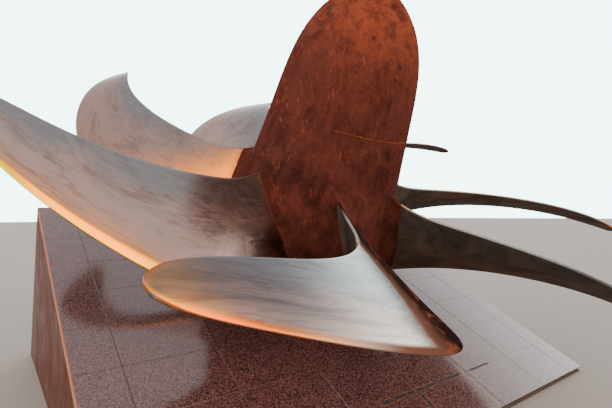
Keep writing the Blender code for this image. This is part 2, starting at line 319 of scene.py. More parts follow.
def modifier_mesh(name, mesh, tree, values, arris=0.0):
    """Runs a Geometry Nodes tree over a mesh, with its inputs set by their names, and eases its edges."""
    obj = new_object(name, mesh)
    modifier = obj.modifiers.new(tree.name, "NODES")
    modifier.node_group = tree
    for item in tree.interface.items_tree:
        if item.in_out == "INPUT" and item.name in values:
            modifier[item.identifier] = values[item.name]
    if arris:
        eased = obj.modifiers.new("Arris", "BEVEL")
        eased.width = arris
        eased.segments = 2
        eased.limit_method = "ANGLE"
    return evaluated_mesh(obj, name)


def new_geometry_tree(name, inputs):
    """An empty Geometry Nodes tree and its inputs, named with their kinds."""
    tree = bpy.data.node_groups.new(name, "GeometryNodeTree")
    tree.interface.new_socket("Geometry", in_out="INPUT", socket_type="NodeSocketGeometry")
    tree.interface.new_socket("Geometry", in_out="OUTPUT", socket_type="NodeSocketGeometry")
    for socket_name, kind in inputs.items():
        tree.interface.new_socket(socket_name, in_out="INPUT", socket_type=f"NodeSocket{kind}")
    return Nodes(tree), add_node(tree, "NodeGroupInput").outputs


def finished_tree(nodes, geometry, finish):
    """Ends a Geometry Nodes tree with real geometry in its material."""
    dressed = nodes.passed(geometry, ("RealizeInstances", {}), ("SetMaterial", {"Material": finish}))
    add_node(nodes.tree, "NodeGroupOutput", None, {"Geometry": dressed})
    return nodes.tree


def clamped(value):
    """A value held between 0 and 1."""
    return min(max(value, 0.0), 1.0)


def plinth_points(plinth):
    """Low edge and crest of the plinth as (y, z), and the direction up its slope."""
    half = (plinth.top_run + plinth.rear_batter) / 2
    up_slope = Vector((math.cos(plinth.top_slope), math.sin(plinth.top_slope)))
    toe = Vector((-half, plinth.slab_thickness / up_slope.x + plinth.toe_clearance))
    return toe, toe + up_slope * (plinth.top_run / up_slope.x), up_slope


def axis_place(sizes, plinth):
    """Placement of the propeller's axis: its foot on the top, square to the slope."""
    toe, _, up_slope = plinth_points(plinth)
    foot = toe + up_slope * sizes.axis_up_slope
    return Matrix.Translation((0.0, foot.x, foot.y)) @ Matrix.Rotation(plinth.top_slope, 4, "X")


def hub_radius(sizes, height):
    """Radius of the hub at a height along the axis, cone and boss alike."""
    below_seam = sizes.seam_height - height
    if below_seam >= 0:
        return sizes.seam_radius + sizes.hub_taper * below_seam + below_seam ** 2 / (2 * sizes.flare_radius)
    share = min(-below_seam / sizes.cone_length, 1.0)
    narrowing = 1 - sizes.hub_taper * sizes.cone_length / sizes.seam_radius * share
    return sizes.seam_radius * narrowing * (1 - share ** CONE_FULLNESS) ** (1 / CONE_BLUNTNESS)


def turned_piece(name, profile, sizes, place, finish, node):
    """A piece turned on the propeller's axis from a profile of (radius, height), top down."""
    mesh = bpy.data.meshes.new(name)
    mesh.from_pydata([(radius, 0.0, height) for radius, height in profile],
                     [(i, i + 1) for i in range(len(profile) - 1)], [])
    obj = new_object(name, mesh)
    turn = obj.modifiers.new("Turn", "SCREW")
    turn.axis = "Z"
    turn.steps = turn.render_steps = sizes.hub_facets
    turn.use_merge_vertices = True
    turn.merge_threshold = 0.00005
    turn.use_smooth_shade = True
    turned = evaluated_mesh(obj, name)
    turned.transform(place)
    turned.set_sharp_from_angle(angle=math.radians(30))
    return finished_piece(name, turned, finish, "hub_bronze", node)


# Blades: sections that lie on cylinders about the axis

def along(table, share):
    """The smooth curve through a table's even stations, at a share of the way from root to tip."""
    last = len(table) - 1
    total = 0.0
    for i, value in enumerate(table):
        for j in range(len(table)):
            if j != i:
                value *= (share * last - j) / (i - j)
        total += value
    return total


class Section:
    """One blade section at a radius, as the flat shape that is then bent round the axis."""

    def __init__(self, sizes, radius, root_radius, fuller):
        share = clamped((radius - root_radius) / (sizes.tip_radius - root_radius))
        self.sizes = sizes
        self.radius = radius
        self.chord = along(sizes.chord, share) * math.sqrt(max(1 - share ** TIP_FULLNESS, 0.0))
        self.pitch_angle = math.atan2(along(sizes.pitch, share), 2 * math.pi * radius)
        self.skew = math.radians(along(sizes.skew, share))
        self.rake = along(sizes.rake, share)
        fall = (1 - share) ** THICKNESS_FALL
        thickness = sizes.tip_thickness + (sizes.root_thickness - sizes.tip_thickness) * fall
        self.thickness = min(thickness, self.chord / 2)
        place = clamped((share - FULLER_FROM) / (FULLER_TO - FULLER_FROM))
        self.fuller = fuller * math.sin(math.pi * place) ** 2

    def skin(self, turn):
        """A point of the skin at a turn round the section, nose first, before the root fillet."""
        back = (1 - math.cos(turn)) / 2
        spread = abs(2 * back - 1)
        edge = min(self.sizes.edge_thickness, self.thickness)
        if back < 0.5:
            half = self.thickness / 2 * math.sqrt(max(1 - spread ** NOSE_FULLNESS, 0.0))
        else:
            end = min((1 - back) / TAIL_ROUNDING, 1.0)
            half = edge / 2 * math.sqrt(end * (2 - end)) + (self.thickness - edge) / 2 * (1 - spread ** TAIL_FULLNESS)
        side = 1 if turn < math.pi else -1
        return Vector(((0.5 - back) * self.chord, CAMBER * self.chord * 4 * back * (1 - back) + side * half))

    def height(self, point):
        """Height along the axis of a point of the section."""
        return (self.sizes.blade_height + self.rake
                - point.x * math.sin(self.pitch_angle) - point.y * math.cos(self.pitch_angle))

    def off_hub(self, point):
        """How far a point of the section lies outside the hub."""
        return self.radius - hub_radius(self.sizes, self.height(point))

    def flared(self, turn):
        """The skin's point, moved out by the fillet that joins the blade to the hub."""
        sizes = self.sizes
        point = self.skin(turn)
        step = 0.02
        tangent = (self.skin(turn + step) - self.skin(turn - step)).normalized()
        spread = -math.cos(turn)
        off_hub = self.off_hub(point)
        out = max(off_hub, 0.0)
        fillet = sizes.root_fillet + (sizes.edge_fillet - sizes.root_fillet) * spread ** 2
        square = fillet - math.sqrt(fillet ** 2 - max(fillet - out, 0.0) ** 2) + SUNK_FLARE * max(-off_hub, 0.0)
        rearward = sizes.tail_rise * max(1 - out / sizes.tail_reach, 0.0) ** 2 + self.fuller
        return point + Vector((tangent.y, -tangent.x)) * square - Vector((rearward * max(spread, 0.0) ** 2, 0.0))


def blade_rows(sizes, root_radius):
    """Radii of the rows: close where the fillet runs out on the hub, then eased to the tip."""
    rows = [root_radius - SUNK_ROW]
    first_turn, last_turn = math.radians(4), math.radians(90)
    for i in range(FILLET_ROWS):
        turn = first_turn + (last_turn - first_turn) * i / (FILLET_ROWS - 1)
        rows.append(root_radius + sizes.root_fillet * (1 - math.cos(turn)))
    start = rows[-1]
    steps = sizes.span_rows - FILLET_ROWS - 1
    for i in range(1, steps + 1):
        share = i / steps
        eased = EVEN_SPACING * share + (1 - EVEN_SPACING) * math.sin(math.pi / 2 * share)
        rows.append(start + (sizes.tip_radius * TIP_ROW - start) * eased)
    return rows


def unrolled_blade(sizes, number):
    """The blade as flat sections: x toward its leading edge, y toward its back, z the radius."""
    fuller = sizes.fuller_edge if number == FULLER_BLADE else 0.0
    root_radius = hub_radius(sizes, sizes.blade_height)
    bm = bmesh.new()
    layers = [bm.verts.layers.float.new(name) for name in BLADE_LAYERS]
    plan = bm.loops.layers.uv.new("plan")
    own_looks = [float(number == blade) for blade in (TARNISHED_BLADE, ROLLED_BLADE, STAINED_BLADE)]
    rows = []
    for nominal in blade_rows(sizes, root_radius):
        away = clamped((nominal - root_radius - sizes.root_fillet) / FOLLOW_RUN)
        follow = (1 - away) ** 2 * (1 + 2 * away)
        verts = []
        for i in range(sizes.round_points):
            turn = 2 * math.pi * i / sizes.round_points
            radius = nominal
            for _ in range(SETTLING_PASSES):
                section = Section(sizes, radius, root_radius, fuller)
                point = section.flared(turn)
                radius = nominal + (hub_radius(sizes, section.height(point)) - root_radius) * follow
            vert = bm.verts.new((point.x, point.y, section.radius))
            values = (section.pitch_angle, section.skew, section.rake, (1 - math.cos(turn)) / 2,
                      section.off_hub(point), float(turn < math.pi), *own_looks)
            for layer, value in zip(layers, values):
                vert[layer] = value
            verts.append(vert)
        rows.append(verts)
    for inner, outer in zip(rows, rows[1:]):
        for i in range(sizes.round_points):
            j = (i + 1) % sizes.round_points
            bm.faces.new((inner[i], inner[j], outer[j], outer[i]))
    bm.faces.new(rows[0])
    bm.faces.new(rows[-1])
    bmesh.ops.recalc_face_normals(bm, faces=bm.faces)
    for face in bm.faces:
        for loop in face.loops:
            loop[plan].uv = (loop.vert.co.x + PLAN_SHIFT * number, loop.vert.co.z)
    mesh = bpy.data.meshes.new("unrolled_blade")
    bm.to_mesh(mesh)
    bm.free()
    return mesh


def rolling_tree():
    """Bends flat blade sections onto their cylinders and puts them on the leaning axis."""
    nodes, given = new_geometry_tree("Roll sections on the axis", {
        "Blade height": "Float", "Turn": "Float", "Axis foot": "Vector", "Lean": "Vector", "Finish": "Material"})

    def stored(name):
        return nodes.add("GeometryNodeInputNamedAttribute", {"data_type": "FLOAT"}, {"Name": name})

    forward, upward, radius = nodes.split(nodes.add("GeometryNodeInputPosition"))
    pitch_angle = stored("pitch_angle")
    cosine = nodes.maths("COSINE", pitch_angle)
    sine = nodes.maths("SINE", pitch_angle)
    arc = nodes.less(nodes.times(forward, cosine), nodes.times(upward, sine))
    sweep = nodes.plus(stored("skew"), given["Turn"], nodes.maths("DIVIDE", arc, radius))
    drop = nodes.plus(nodes.times(forward, sine), nodes.times(upward, cosine))
    height = nodes.less(nodes.plus(given["Blade height"], stored("rake")), drop)
    rolled = nodes.joined(nodes.times(radius, nodes.maths("COSINE", sweep)),
                          nodes.times(radius, nodes.maths("SINE", sweep)), height)
    placed = nodes.passed(
        given["Geometry"], ("SetPosition", {"Position": rolled}), ("FlipFaces", {}),
        ("Transform", {"Translation": given["Axis foot"], "Rotation": given["Lean"]}), ("SetShadeSmooth", {}))
    return finished_tree(nodes, placed, given["Finish"])


def course_tree():
    """Lays slabs up one column of the slope: a cut first course, even courses and a closer."""
    nodes, given = new_geometry_tree("Slabs up the slope", {
        "Width": "Float", "Run": "Float", "First course": "Float", "Course": "Float", "Courses": "Int",
        "Joint": "Float", "Thickness": "Float", "Finish": "Material"})
    top = nodes.plus(given["First course"], nodes.times(nodes.add("GeometryNodeInputIndex"), given["Course"]))
    low = nodes.most(nodes.less(top, given["Course"]), 0.0)
    high = nodes.maths("MINIMUM", top, given["Run"])
    size = nodes.less(nodes.less(high, low), given["Joint"])
    middle = nodes.times(nodes.plus(low, high), 0.5)
    place = nodes.joined(0.0, middle, nodes.times(given["Thickness"], -0.5))
    slab = nodes.add("GeometryNodeMeshCube", None, {"Size": (1.0, 1.0, 1.0)})
    scale = nodes.joined(given["Width"], size, given["Thickness"])
    laid = nodes.passed(
        nodes.add("GeometryNodeMeshLine", None, {"Count": given["Courses"]}),
        ("SetPosition", {"Position": place}), ("InstanceOnPoints", {"Instance": slab, "Scale": scale}))
    return finished_tree(nodes, laid, given["Finish"])


# Finishes

def solid(colour_value):
    """Red, green, blue and full opacity."""
    return (*colour_value, 1.0)


class Finish(Nodes):
    """A material's node tree, with a base colour that further colours are laid over."""

    def __init__(self, name):
        self.material = bpy.data.materials.new(name)
        self.material.use_nodes = True
        super().__init__(self.material.node_tree)
        self.shader = self.tree.nodes["Principled BSDF"]
        self.place = self.add("ShaderNodeTexCoord", output="Object")
        self.base = None

    def noise(self, scale, vector=None, detail=4.0, rough=0.55, distortion=0.0):
        return self.add("ShaderNodeTexNoise", None, {
            "Vector": self.place if vector is None else vector, "Scale": scale, "Detail": detail,
            "Roughness": rough, "Distortion": distortion}, "Fac")

    def swing(self, noise, width):
        """A noise as a wandering to both sides of zero."""
        return self.times(self.less(noise, 0.5), width)

    def turned(self, vector, rotation=(0.0, 0.0, 0.0), scale=(1.0, 1.0, 1.0), location=(0.0, 0.0, 0.0)):
        return self.add("ShaderNodeMapping", None, {
            "Vector": vector, "Rotation": rotation, "Scale": scale, "Location": location})

    def measured_from(self, placement):
        """Coordinates from a placement's own origin and along its own axes."""
        inverse = placement.inverted()
        return self.turned(self.place, inverse.to_euler(), location=inverse.translation)

    def attribute(self, name):
        return self.add("ShaderNodeAttribute", {"attribute_type": "GEOMETRY", "attribute_name": name}, output="Fac")

    def mix(self, share, *colours):
        """Two colours mixed, each a socket or a plain colour."""
        first, second = (c if isinstance(c, bpy.types.NodeSocket) else solid(c) for c in colours)
        return self.add("ShaderNodeMix", {"data_type": "RGBA"}, {0: share, 6: first, 7: second}, 2)

    def lay(self, share, tint):
        """Lays a colour over the base, by its share."""
        self.base = self.mix(share, self.base, tint)

    def finish(self, inputs, relief=None, strength=0.2, distance=0.001, under=None):
        """Connects the base colour, the other inputs and the relief to the shader."""
        inputs = {"Base Color": self.base, **inputs}
        if relief is not None:
            bump = {"Height": relief, "Strength": strength, "Distance": distance}
            if under is not None:
                bump["Normal"] = under
            inputs["Normal"] = self.add("ShaderNodeBump", None, bump)
        connect(self.tree, self.shader, inputs)
        return self.material


def lay_tarnish(finish, colours, upright):
    """Red-brown tarnish of the cast hub: mottled, streaked down the axis, with dark spots and scratches, painted shade
    toward the foot and painted light toward the nose.
    """
    between, noise, times, lay = finish.between, finish.noise, finish.times, finish.lay
    # Clouds 300 mm wide, mottling 40 mm, streaks 70 mm by 500 mm
    clouds = noise(4.0, upright, 6.0, 0.6, 0.8)
    mottle = noise(26.0, upright, 6.0, 0.65)
    rubbed = noise(1.0, finish.turned(upright, scale=(14.0, 14.0, 2.0)), 4.0, 0.6)
    height = finish.split(upright)[2]
    # Painted shade and light: darker toward the foot and lighter toward the top, as the light falls from above
    tone_and_shade = finish.plus(times(clouds, 0.5), times(mottle, 0.3), times(rubbed, 0.2),
                        between(height, 0.3, 2.3, -0.08, 0.05))
    finish.base = finish.mix(between(tone_and_shade, 0.28, 0.62), colours.hub_deep, colours.hub_red)
    blotches = noise(11.0, upright, 4.0, 0.6, 0.5)
    # Painted light: paler blotches toward the nose
    nose = times(between(height, 1.8, 2.6, 0.0, 0.52), between(blotches, 0.36, 0.60))
    lay(finish.most(nose, between(tone_and_shade, 0.58, 0.72, 0.0, 0.30)), colours.hub_rubbed_and_lit)
    # Swirled rub marks, about 5 mm wide and 100 mm long, more of them toward the nose
    swirl = noise(3.0, upright, 2.0, 0.5, 2.5)
    marks = noise(1.0, finish.turned(upright, (0.5, 0.6, 0.4), (60.0, 7.0, 9.0)), 5.0, 0.7, 2.5)
    rub = between(finish.less(swirl, between(height, 1.2, 2.0, 0.56, 0.46)), -0.04, 0.06, 0.0, 0.48)
    lay(times(between(marks, 0.53, 0.66), rub), colours.hub_rubbed_and_lit)
    lay(between(blotches, 0.36, 0.30, 0.0, 0.5), colours.hub_deep)
    return mottle


def tarnish_roughness(finish, mottle):
    return finish.between(mottle, 0.35, 0.70, 0.46, 0.60)


def cast_bronze(sizes, colours, place):
    """Cast bronze with a handled red-brown tarnish: a deep, uneven sheen with rubbed orange patches and painted light
    toward the nose.
    """
    finish = Finish("cast_bronze_red_tarnish")
    between = finish.between
    upright = finish.measured_from(place)
    mottle = lay_tarnish(finish, colours, upright)
    sideways, _, height = finish.split(upright)
    # The seam is dressed flush: a pale scraped line about 5 mm wide, broken where it is worn
    off_seam = finish.maths("ABSOLUTE", finish.less(height, sizes.seam_height))
    line = finish.times(between(off_seam, 0.006, 0.002), between(sideways, -0.46, -0.36),
                        between(mottle, 0.40, 0.60, 0.25, 0.65))
    finish.lay(line, colours.hub_rubbed_and_lit)
    # The sheen is left to the tarnish's own metal, so that it stays brown at the outline too
    return finish.finish({
        "Roughness": tarnish_roughness(finish, mottle), "Metallic": HUB_METALLIC,
        "Specular IOR Level": 0.0, "Specular Tint": solid(colours.hub_rubbed_and_lit)}, mottle, 0.15, 0.002)


def ground_bronze(sizes, colours, place):
    """Nickel aluminium bronze, ground by hand and weathered: silvery, with warm swirls and a soft gloss, with painted
    reflections on its edges and painted shade underneath.
    """
    finish = Finish("ground_bronze_weathered")
    between, noise, swing, mix, lay = finish.between, finish.noise, finish.swing, finish.mix, finish.lay
    times, plus, less, most = finish.times, finish.plus, finish.less, finish.most
    mottle = lay_tarnish(finish, colours, finish.measured_from(place))
    tarnish = finish.base
    plan = finish.add("ShaderNodeUVMap", {"uv_map": "plan"})
    back, off_hub, underside, tarnished, rolled_blade_flag, stained = (finish.attribute(name) for name in (
        "back", "off_hub", "underside", "tarnished_edge", "rolled_edge", "stained"))
    # Swirls 350 mm long; grinding marks 20 mm by 100 mm in two directions, drawn coarse enough to show
    swirls = noise(2.8, plan, 6.0, 0.62, 1.8)
    along_span, across_span = (
        noise(1.0, finish.turned(plan, (0.0, 0.0, turn), (34.0, 9.0, 1.0)), 6.0, 0.6, 1.4) for turn in (0.35, -0.9))
    patch = between(noise(1.6, plan, 2.0), 0.44, 0.56)
    marks = plus(times(along_span, patch), times(across_span, less(1.0, patch)))
    # Painted light: cool and grey toward the trailing edge, lighter and warmer toward the leading edge
    warm_light = between(plus(back, swing(swirls, 0.9)), 0.95, 0.40)
    finish.base = mix(warm_light, colours.blade_silver, colours.blade_lit_warm)
    clouds = noise(3.5, plan, 6.0, 0.65, 1.0)
    tone = plus(times(clouds, 0.7), times(marks, 0.3))
    lay(between(tone, 0.50, 0.36, 0.0, 0.42), colours.blade_brown)
    lay(between(tone, 0.50, 0.66, 0.0, 0.30), colours.edge_pale)
    # The near blade is cooler away from the hub, dusky at the back of its end, and smudged
    lay(times(tarnished, between(off_hub, 0.25, 0.8, 0.0, 0.82), between(off_hub, 1.9, 1.1, 0.3, 1.0),
              between(back, 0.05, 0.50, 0.6, 1.0)), colours.blade_cool)
    lay(times(tarnished, between(off_hub, 1.45, 1.90, 0.0, 0.65), between(back, 0.15, 0.55, 0.2, 1.0)),
        colours.blade_mauve)
    smudges = noise(1.0, finish.turned(plan, (0.0, 0.0, 0.25), (9.0, 2.6, 1.0)), 5.0, 0.62, 1.2)
    lay(times(tarnished, between(smudges, 0.47, 0.62, 0.0, 0.40)), colours.blade_smudge)
    # The hooked blade is stained brown. Painted reflection: a warm copper glow lies near its root and along the rolled
    # edge
    lay(times(stained, between(back, 0.95, 0.6, 0.08, 0.32)), colours.blade_stained)
    lay(most(times(stained, between(off_hub, 1.0, 0.2, 0.0, 0.15)),
             between(back, 0.45, 0.05, 0.0, times(rolled_blade_flag, 0.26))), colours.warm_reflection)
    # Painted shade: the rolled blade is darker and browner near its root, darkest by the hub on its leading half
    root_reach = less(off_hub, swing(clouds, 1.6))
    near_root = times(between(root_reach, 0.95, 0.20), rolled_blade_flag)
    lay(times(near_root, 0.85), mix(between(back, 0.70, 0.92), colours.blade_brown, colours.shade_brown))
    root_shade = times(between(root_reach, 0.42, 0.20), between(back, 0.70, 0.50, 0.0, rolled_blade_flag))
    lay(times(root_shade, 0.8), colours.shade_dark)
    # A rust-coloured line where the root fillet ends
    ragged = plus(off_hub, times(noise(9.0, plan), 0.03))
    lay(times(between(ragged, 0.110, 0.118), between(ragged, 0.150, 0.122), between(back, 0.45, 0.95, 0.1, 0.6)),
        colours.rust)
    # Painted reflection of the warm glow along the leading edge, brightest at its outer strip, up to 200 mm wide
    # toward the tip
    rubbed = most(rolled_blade_flag, times(tarnished, between(off_hub, 1.65, 1.90)))
    edge = times(between(plus(back, swing(clouds, 0.10)), 0.20, 0.05), between(off_hub, 0.2, 0.8), rubbed)
    lay(edge, mix(between(back, 0.20, 0.08, 0.0, rolled_blade_flag), colours.warm_reflection, colours.brightest_reflection))
    # Grime and painted dark reflection: the near blade is dull and dark inside a curved border, and in a strip along
    # its leading edge
    border = less(1.52, times(finish.maths("POWER", back, 1.6), 0.66))
    inside = plus(less(border, off_hub), swing(noise(5.0, plan, 2.0), 0.06))
    strip = times(between(back, 0.14, 0.07), between(off_hub, 1.85, 1.60))
    grime_and_dark_reflection = times(most(between(inside, -0.025, 0.055), strip), tarnished)
    speck = between(noise(9.0, plan, 5.0, 0.6, 0.4), 0.52, 0.70, 0.0, 0.5)
    lay(grime_and_dark_reflection, mix(speck, mix(between(inside, 0.02, 0.22), colours.grime_and_dark_reflection_thin, colours.grime_and_dark_reflection), colours.hub_rubbed_and_lit))
    # Trailing edge worn pale, and a rusty rim round the tip
    radius = finish.split(plan)[1]
    tip = between(radius, sizes.tip_radius - 0.20, sizes.tip_radius - 0.03)
    lay(times(between(back, 0.975, 0.998), between(off_hub, 0.15, 0.4, 0.0, 0.6), less(1.0, tip)), colours.edge_pale)
    lay(times(between(back, 0.95, 0.99), tip, 0.8), colours.rust)
    # Painted shade: dark undersides, standing in for their shade and the dark ground they reflect; and the hub's
    # tarnish on the root fillet
    lay(times(underside, between(back, 0.998, 0.985, 0.4, 0.95)),
        mix(between(clouds, 0.35, 0.7), colours.shade_dark, colours.shade_brown))
    on_fillet = between(ragged, 0.118, 0.108)
    lay(on_fillet, tarnish)
    roughness = plus(between(marks, 0.3, 0.7, 0.20, 0.30), times(near_root, 0.10), times(underside, 0.32),
                     times(grime_and_dark_reflection, 0.25))
    dull = most(times(underside, between(tarnished, 0.0, 1.0, 0.7, 0.97)), times(grime_and_dark_reflection, 0.96),
                times(on_fillet, 1.0 - HUB_METALLIC))
    # One blade's face is ground to roll over toward its leading edge, by 8 degrees near the edge
    roll = times(plus(between(back, 0.125, 0.0, 0.0, EDGE_ROLL), between(back, 0.42, 0.0, 0.0, WIDE_ROLL)),
                 less(1.0, underside), rolled_blade_flag)
    rolled = finish.add("ShaderNodeBump", None, {"Height": roll, "Strength": 1.0, "Distance": 1.0})
    return finish.finish({
        "Roughness": between(on_fillet, 0.0, 1.0, roughness, tarnish_roughness(finish, mottle)),
        "Metallic": less(1.0, dull), "Specular IOR Level": 0.0}, marks, 0.05, 0.0012, rolled)


def granite_grains(finish, colours):
    """Speckle of a coarse red granite: pink feldspar, grey quartz and dark mica."""
    # Grains 4 mm across in drifts of 40 mm
    grains = finish.add("ShaderNodeTexVoronoi", {"feature": "F1"}, {"Vector": finish.place, "Scale": 250.0}, "Color")
    pick = finish.add("ShaderNodeSeparateColor", None, {0: grains})
    drifts = finish.noise(9.0, None, 6.0, 0.75)
    value = finish.plus(finish.times(pick, 0.8), finish.times(drifts, 0.25))
    finish.base = finish.mix(finish.between(value, 0.30, 0.55), colours.granite_pink, colours.granite_grey)
    finish.lay(finish.between(value, 0.68, 0.80), colours.granite_dark)
    return value


def polished_granite(colours, slope, first_course):
    """Red granite, polished and waxed: a speckled stone under a mirror gloss, stained along some joints."""
    finish = Finish("polished_red_granite")
    between, times, lay, most = finish.between, finish.times, finish.lay, finish.most
    granite_grains(finish, colours)
    across, up_slope, _ = finish.split(finish.measured_from(slope))
    crumbs = finish.noise(24.0, None, 6.0, 0.7)
    wander = finish.swing(finish.noise(9.0), 0.02)

    def beside(coordinate, at, reach):
        """A ragged strip on both sides of a line."""
        off = finish.maths("ABSOLUTE", finish.less(finish.plus(coordinate, wander), at))
        return between(off, reach + 0.005, reach - 0.002)

    def within(coordinate, low, high):
        """A soft-ended length along the other direction."""
        return times(between(coordinate, low - 0.04, low + 0.04), between(coordinate, high + 0.04, high - 0.04))

    long_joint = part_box("top_column_3")[1][0] + HALF_LONG_JOINT
    next_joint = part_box("top_column_4")[1][0] + HALF_LONG_JOINT
    for line, reach, extent in (
            ((across, long_joint), 0.024, (up_slope, -0.1, 0.55)),
            ((up_slope, first_course), 0.020, (across, -0.30, 0.62)),
            ((across, next_joint - 0.044), 0.007, (up_slope, -0.1, 0.62)),
            ((across, next_joint + 0.038), 0.006, (up_slope, -0.1, 0.62))):
        stain = times(beside(*line, reach), within(*extent), between(crumbs, 0.42, 0.58, 0.1, 0.9))
        lay(stain, colours.rust)
    wet = times(beside(across, long_joint, 0.017), within(up_slope, -0.1, 0.55))
    for low, high, reach in ((-0.30, 0.62, 0.014), (0.72, 1.02, 0.006)):
        wet = most(wet, times(beside(up_slope, first_course, reach), within(across, low, high)))
    wet = times(wet, between(crumbs, 0.68, 0.60))
    lay(wet, colours.mortar)
    # Painted highlight: a light orange line along the eased left edge of the top, left unpolished
    left_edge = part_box("top_left_strip")[0][0]
    arris = between(across, left_edge + 0.012, left_edge + 0.005)
    lay(arris, colours.arris_highlight)
    unpolished = most(wet, arris)
    haze = between(finish.noise(2.5, None, 5.0, 0.6), 0.3, 0.7, 0.10, 0.20)
    return finish.finish({
        "Roughness": finish.plus(haze, times(unpolished, 0.5)), "IOR": GRANITE_IOR,
        "Coat Weight": finish.less(1.0, unpolished), "Coat Roughness": 0.12, "Coat IOR": 2.0})


def unpolished_granite(name, colours, sheen, roughness, relief):
    """The same granite with a dull or honed face: an even red with a low sheen."""
    finish = Finish(name)
    value = granite_grains(finish, colours)
    finish.lay(0.8, colours.granite_red)
    return finish.finish({
        "Roughness": finish.between(finish.noise(4.0), 0.3, 0.7, *roughness), "IOR": GRANITE_IOR,
        "Specular IOR Level": sheen}, value, relief, 0.0005)


def damp_mortar(colours):
    """Cement mortar, damp and stained: dark, with crumbs of rust colour, and dry toward the sides."""
    finish = Finish("damp_cement_mortar")
    crumbs = finish.noise(35.0, None, 5.0, 0.7)
    across = finish.split(finish.place)[0]
    between = finish.between
    damp = finish.times(between(across, -0.9, 0.0), between(across, 1.0, 0.75))
    rusty = finish.mix(between(crumbs, 0.52, 0.60), colours.mortar, colours.rust)
    finish.base = finish.mix(damp, colours.mortar_dry, rusty)
    return finish.finish({"Roughness": 0.85}, crumbs, 0.6, 0.002)


def cast_concrete(colours):
    """Cast concrete behind the facing: grey and matt."""
    finish = Finish("cast_concrete")
    pores = finish.noise(60.0, None, 6.0, 0.7)
    finish.base = finish.mix(pores, colours.concrete, colours.mortar)
    return finish.finish({"Roughness": 0.9}, pores, 0.4, 0.002)


def swept_floor(colours):
    """Smooth pale floor with a faint cloudiness."""
    finish = Finish("pale_floor")
    clouds = finish.noise(0.6, None, 3.0)
    finish.base = finish.mix(finish.between(clouds, 0.2, 0.8, 0.0, 0.08), colours.floor, colours.concrete)
    return finish.finish({"Roughness": 0.7})


# Operators: one for each piece or group of like pieces

class PROPELLER_OT_hub(bpy.types.Operator):
    """Turns the seat ring, the hub's boss and the cone"""
    bl_idname = "propeller.hub"
    bl_label = "Turn the hub"

    def execute(self, context):
        sizes, plinth = context.scene.propeller_sizes, context.scene.plinth_sizes
        place = axis_place(sizes, plinth)
        finish = cast_bronze(sizes, context.scene.finish_colours, place)
        ring_radius = hub_radius(sizes, sizes.ring_thickness) + sizes.ring_overhang
        ring = [(0.0, sizes.ring_thickness), (ring_radius - RING_EDGE, sizes.ring_thickness),
                (ring_radius, sizes.ring_thickness - RING_EDGE), (ring_radius, SKIN_GAP), (0.0, SKIN_GAP)]
        turned_piece("seat_ring", ring, sizes, place, finish, "hub_seat_ring")
        seam, chamfer = sizes.seam_height, sizes.seam_chamfer
        rim = sizes.seam_radius - chamfer
        foot = sizes.ring_thickness + SKIN_GAP
        rows = 24
        side = [seam - chamfer - (seam - chamfer - foot) * i / rows for i in range(rows + 1)]
        boss = [(0.0, seam), (rim, seam), *((hub_radius(sizes, height), height) for height in side), (0.0, foot)]
        turned_piece("boss", boss, sizes, place, finish, "hub_boss")
        foot = seam + SKIN_GAP
        rows = 64
        side = [max(seam + sizes.cone_length * math.cos(math.pi / 2 * i / rows), foot + chamfer)
                for i in range(1, rows + 1)]
        cone = [(0.0, seam + sizes.cone_length), *((hub_radius(sizes, height), height) for height in side),
                (rim, foot), (0.0, foot)]
        turned_piece("cone", cone, sizes, place, finish, "fairwater_cone")
        return {"FINISHED"}


class PROPELLER_OT_blades(bpy.types.Operator):
    """Rolls the seven blades onto the hub"""
    bl_idname = "propeller.blades"
    bl_label = "Roll the blades"

    def execute(self, context):
        sizes, plinth = context.scene.propeller_sizes, context.scene.plinth_sizes
        place = axis_place(sizes, plinth)
        finish = ground_bronze(sizes, context.scene.finish_colours, place)
        tree = rolling_tree()
        for i in range(BLADE_COUNT):
            mesh = modifier_mesh(f"blade_{i + 1}_skin", unrolled_blade(sizes, i + 1), tree, {
                "Blade height": sizes.blade_height,
                "Turn": sizes.first_blade - i * 2 * math.pi / BLADE_COUNT,
                "Axis foot": place.translation,
                "Lean": (plinth.top_slope, 0.0, 0.0),
                "Finish": finish})
            finished_piece(f"blade_{i + 1}_skin", mesh, finish, "blade_bronze", f"blade_{i + 1}")
        return {"FINISHED"}


